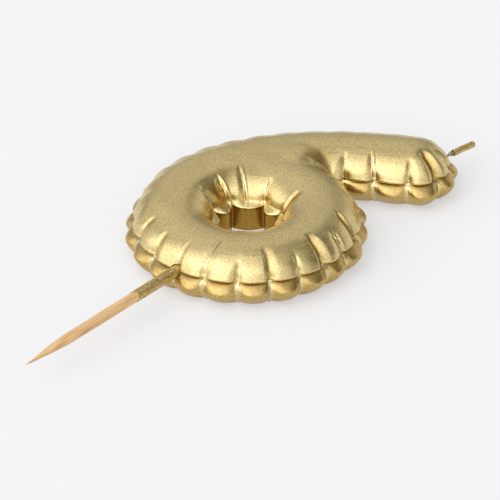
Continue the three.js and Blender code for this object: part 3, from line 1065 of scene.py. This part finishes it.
class Finish(Nodes):
    """A material under construction, with its principled shader and its own coordinates."""

    def __init__(self, name, **shader):
        self.material = bpy.data.materials.new(name)
        self.material.use_nodes = True
        super().__init__(self.material.node_tree)
        self.shader = self.tree.nodes["Principled BSDF"]
        for key, value in shader.items():
            self.shader.inputs[key.replace("_", " ")].default_value = value
        self.place = self.node("ShaderNodeTexCoord").outputs["Object"]

    def stretched(self, scale):
        return self.node("ShaderNodeMapping", {"Vector": self.place, "Scale": scale}).outputs[0]

    def noise(self, size, detail, place=None):
        """Noise whose patches are about size millimetres wide, over the object's own coordinates."""
        inputs = {"Vector": place or self.place, "Scale": 1 / (size * MM), "Detail": detail}
        return self.node("ShaderNodeTexNoise", inputs).outputs["Fac"]

    def ramp(self, value, *stops):
        node = self.node("ShaderNodeValToRGB", {"Fac": value})
        stops = [(place, colour if isinstance(colour, tuple) else (colour,) * 3) for place, colour in stops]
        points = node.color_ramp.elements
        for point, (place, colour) in zip(points, (stops[0], stops[-1])):
            point.position, point.color = place, (*colour, 1)
        for place, colour in stops[1:-1]:
            points.new(place).color = (*colour, 1)
        return node.outputs["Color"]

    def mix(self, share, first, second, blend="MIX"):
        node = self.node("ShaderNodeMix", {"Factor": share}, data_type="RGBA", blend_type=blend)
        for socket, value in ((node.inputs[6], first), (node.inputs[7], second)):
            if isinstance(value, bpy.types.NodeSocket):
                self.tree.links.new(value, socket)
            else:
                socket.default_value = (*value, 1)
        return node.outputs[2]

    def set(self, name, value):
        self.tree.links.new(value, self.shader.inputs[name])

    def bump(self, height, depth, strength):
        node = self.node("ShaderNodeBump", {"Height": height, "Distance": depth * MM, "Strength": strength})
        self.set("Normal", node.outputs[0])


# The lacquer's own colour, its colour under painted shade, and its colour under painted highlight.
GOLD = (0.68, 0.54, 0.242)
GOLD_SHADED = (0.38, 0.205, 0.022)
GOLD_HIGHLIGHT = (0.92, 0.84, 0.62)


def satin_gold():
    """Satin gold lacquer with a fine sprayed grain, with painted shade making it warmer and darker in
    hollows and painted highlight making it paler along folds.
    """
    finish = Finish("satin gold lacquer", Metallic=1.0)
    painted_light = finish.node("ShaderNodeAttribute", attribute_name="painted_light").outputs["Fac"]
    # The point values give painted shade where positive and painted highlight where negative.
    painted_shade = finish.ramp(painted_light, (0.1, 0.0), (0.9, 0.9))
    highlighted = finish.ramp(finish.maths("MULTIPLY", painted_light, -1.0), (0.2, 0.0), (0.9, 1.0))
    tone = finish.mix(highlighted, finish.mix(painted_shade, GOLD, GOLD_SHADED), GOLD_HIGHLIGHT)
    fleck = finish.ramp(finish.noise(0.24, 1.0), (0.3, 0.74), (0.7, 1.26))
    finish.set("Base Color", finish.mix(1.0, tone, fleck, "MULTIPLY"))
    finish.set("Roughness", finish.ramp(finish.noise(3.0, 2.0), (0.3, 0.26), (0.7, 0.33)))
    finish.bump(finish.noise(0.28, 3.0), 0.045, 0.5)
    return finish.material


def brushed_gold():
    """Thin brushed lacquer: darker, with lengthwise streaks where the wood shows through."""
    finish = Finish("brushed gold lacquer", Metallic=0.9, Roughness=0.48)
    long_way = finish.stretched((1, 0.12, 1))
    streak = finish.noise(0.3, 4.0, long_way)
    tone = finish.ramp(
        streak, (0.3, (0.42, 0.29, 0.08)), (0.5, (0.62, 0.46, 0.17)), (0.7, (0.80, 0.62, 0.28))
    )
    fleck = finish.ramp(finish.noise(0.3, 3.0), (0.35, 0.55), (0.65, 1.3))
    finish.set("Base Color", finish.mix(1.0, tone, fleck, "MULTIPLY"))
    finish.bump(finish.noise(0.35, 4.0, long_way), 0.08, 0.8)
    return finish.material


def bare_wood():
    finish = Finish("bare birch", Roughness=0.7)
    long_way = finish.stretched((1, 0.05, 1))
    fibres = finish.noise(0.35, 5.0, long_way)
    tone = finish.ramp(
        fibres, (0.3, (0.50, 0.28, 0.11)), (0.5, (0.72, 0.46, 0.2)), (0.7, (0.80, 0.55, 0.27))
    )
    finish.set("Base Color", tone)
    finish.bump(fibres, 0.04, 0.7)
    return finish.material


def waxed_cotton():
    finish = Finish("waxed cotton", Roughness=0.6)
    fibres = finish.noise(0.08, 3.0)
    finish.set("Base Color", finish.ramp(fibres, (0.3, (0.20, 0.14, 0.06)), (0.7, (0.42, 0.33, 0.17))))
    finish.bump(fibres, 0.03, 0.8)
    return finish.material


# ---- The candle

gold = satin_gold()
dark_gold = brushed_gold()
wood = bare_wood()
cotton = waxed_cotton()

body = wax_body()
cut_bores(body)
finish_piece(body, gold, "gold_wax", "wax_body")
finish_piece(wooden_pick(), wood, "pick_wood", "wooden_pick")
finish_piece(pick_coat(), dark_gold, "gold_coat", "pick_gold_coat")
for k, strand in enumerate(wick_strands(cotton)):
    finish_piece(strand, cotton, "wick_cotton", f"wick_strand_{k + 1}")
finish_piece(wick_coat(), dark_gold, "gold_coat", "wick_gold_coat")

# ---- Camera, floor and light

# The floor's own look: its glow for camera, mirror and glass rays near the candle, which becomes
# the whole of it further out, so that the floor has no edge.
BACKGROUND = 0.905
PAPER = (0.865, 0.86, 0.84)
NEAR_GLOW = 0.5
# The camera's turn to the right and height in degrees, its distance, and the shift of its aim.
VIEW_AZIMUTH = 40.85
VIEW_ELEVATION = 33.0
VIEW_DISTANCE = 1000.0
LENS = 362.9
AIM_RIGHT = 0.663
AIM_DOWN = 5.879
FLOOR_RADIUS = 4000.0
FLOOR_FADE = (90.0, 170.0)


def camera():
    azimuth, elevation = math.radians(VIEW_AZIMUTH), math.radians(VIEW_ELEVATION)
    back = Vector(
        (
            math.sin(azimuth) * math.cos(elevation),
            -math.cos(azimuth) * math.cos(elevation),
            math.sin(elevation),
        )
    )
    turn = back.to_track_quat("Z", "Y")
    right, up = turn @ Vector((1, 0, 0)), turn @ Vector((0, 1, 0))
    aim = Vector(in_frame((0, 0, SEAM_HEIGHT))) + (AIM_RIGHT * right - AIM_DOWN * up) * MM
    data = bpy.data.cameras.new("camera")
    data.lens = LENS
    data.clip_start, data.clip_end = 0.01, 10
    view = in_scene("camera", data)
    view.location = aim + back * (VIEW_DISTANCE * MM)
    view.rotation_mode = "QUATERNION"
    view.rotation_quaternion = turn
    bpy.context.scene.camera = view


def seen_directly(finish):
    """1 on camera, mirror and glass rays."""
    rays = finish.node("ShaderNodeLightPath")
    seen = rays.outputs["Is Camera Ray"]
    for kind in ("Glossy", "Transmission"):
        seen = finish.maths("MAXIMUM", seen, rays.outputs[f"Is {kind} Ray"])
    return seen


def studio_floor():
    bpy.ops.mesh.primitive_circle_add(
        vertices=96, radius=FLOOR_RADIUS * MM, fill_type="NGON", location=(0, 0, 0)
    )
    floor = bpy.context.object
    floor.name = "studio_floor"
    finish = Finish("pale paper", Base_Color=(*PAPER, 1), Roughness=0.9, Specular_IOR_Level=0.0)
    glow = finish.node("ShaderNodeEmission", {"Color": (BACKGROUND,) * 3 + (1,)})
    distance = finish.node("ShaderNodeVectorMath", {0: finish.place}, operation="LENGTH")
    fade = {"From Min": FLOOR_FADE[0] * MM, "From Max": FLOOR_FADE[1] * MM, "To Min": NEAR_GLOW}
    far = finish.node("ShaderNodeMapRange", {"Value": distance.outputs["Value"], **fade})
    share = finish.maths("MULTIPLY", far.outputs[0], seen_directly(finish))
    mix = finish.node("ShaderNodeMixShader", {0: share, 1: finish.shader.outputs[0], 2: glow.outputs[0]})
    finish.tree.links.new(mix.outputs[0], finish.tree.nodes["Material Output"].inputs["Surface"])
    floor.data.materials.append(finish.material)


# Soft boxes: which way each lies (azimuth from +X and height), how wide it is, all in degrees,
# and its level. Its edge fades from one share of its width to the other.
SOFT_EDGE = (1.5, 0.5)
SOFT_BOXES = [
    (248, 14, 42, 1.45),
    (330, 14, 32, 0.80),
    (295, 36, 30, 0.65),
    (302, 70, 28, 0.58),
    (143, 36, 28, 0.42),
    (170, 60, 30, 0.20),
    (240, 66, 26, 0.35),
    (0, 64, 26, 0.12),
    (78, 6, 26, 0.65),
    (200, 8, 26, 0.35),
]
LAMP_COLOUR = (1.0, 1.015, 1.12)
ROOM_COLOUR = (1.0, 0.95, 0.80)
ROOM_LEVEL = 0.23


def studio_light():
    world = bpy.data.worlds.new("studio")
    bpy.context.scene.world = world
    world.use_nodes = True
    light = Nodes(world.node_tree)
    way = light.node("ShaderNodeTexCoord").outputs["Generated"]
    total = 0.0
    for azimuth, height, width, level in SOFT_BOXES:
        a, h = math.radians(azimuth), math.radians(height)
        towards = (math.cos(a) * math.cos(h), math.sin(a) * math.cos(h), math.sin(h))
        near = light.node("ShaderNodeVectorMath", {0: way, 1: towards}, operation="DOT_PRODUCT")
        rim, core = (math.cos(math.radians(width * share)) for share in SOFT_EDGE)
        edge = light.node(
            "ShaderNodeMapRange",
            {"Value": near.outputs["Value"], "From Min": rim, "From Max": core, "To Max": level},
            interpolation_type="SMOOTHSTEP",
        )
        total = light.maths("ADD", total, edge.outputs[0])
    boxes = light.tree.nodes["Background"]
    boxes.inputs["Color"].default_value = (*LAMP_COLOUR, 1)
    light.tree.links.new(total, boxes.inputs["Strength"])
    room = light.node("ShaderNodeBackground", {"Color": (*ROOM_COLOUR, 1), "Strength": ROOM_LEVEL})
    both = light.node("ShaderNodeAddShader", {0: boxes.outputs[0], 1: room.outputs[0]})
    light.tree.links.new(both.outputs[0], light.tree.nodes["World Output"].inputs["Surface"])


camera()
studio_floor()
studio_light()
bpy.context.scene.view_settings.view_transform = "Standard"
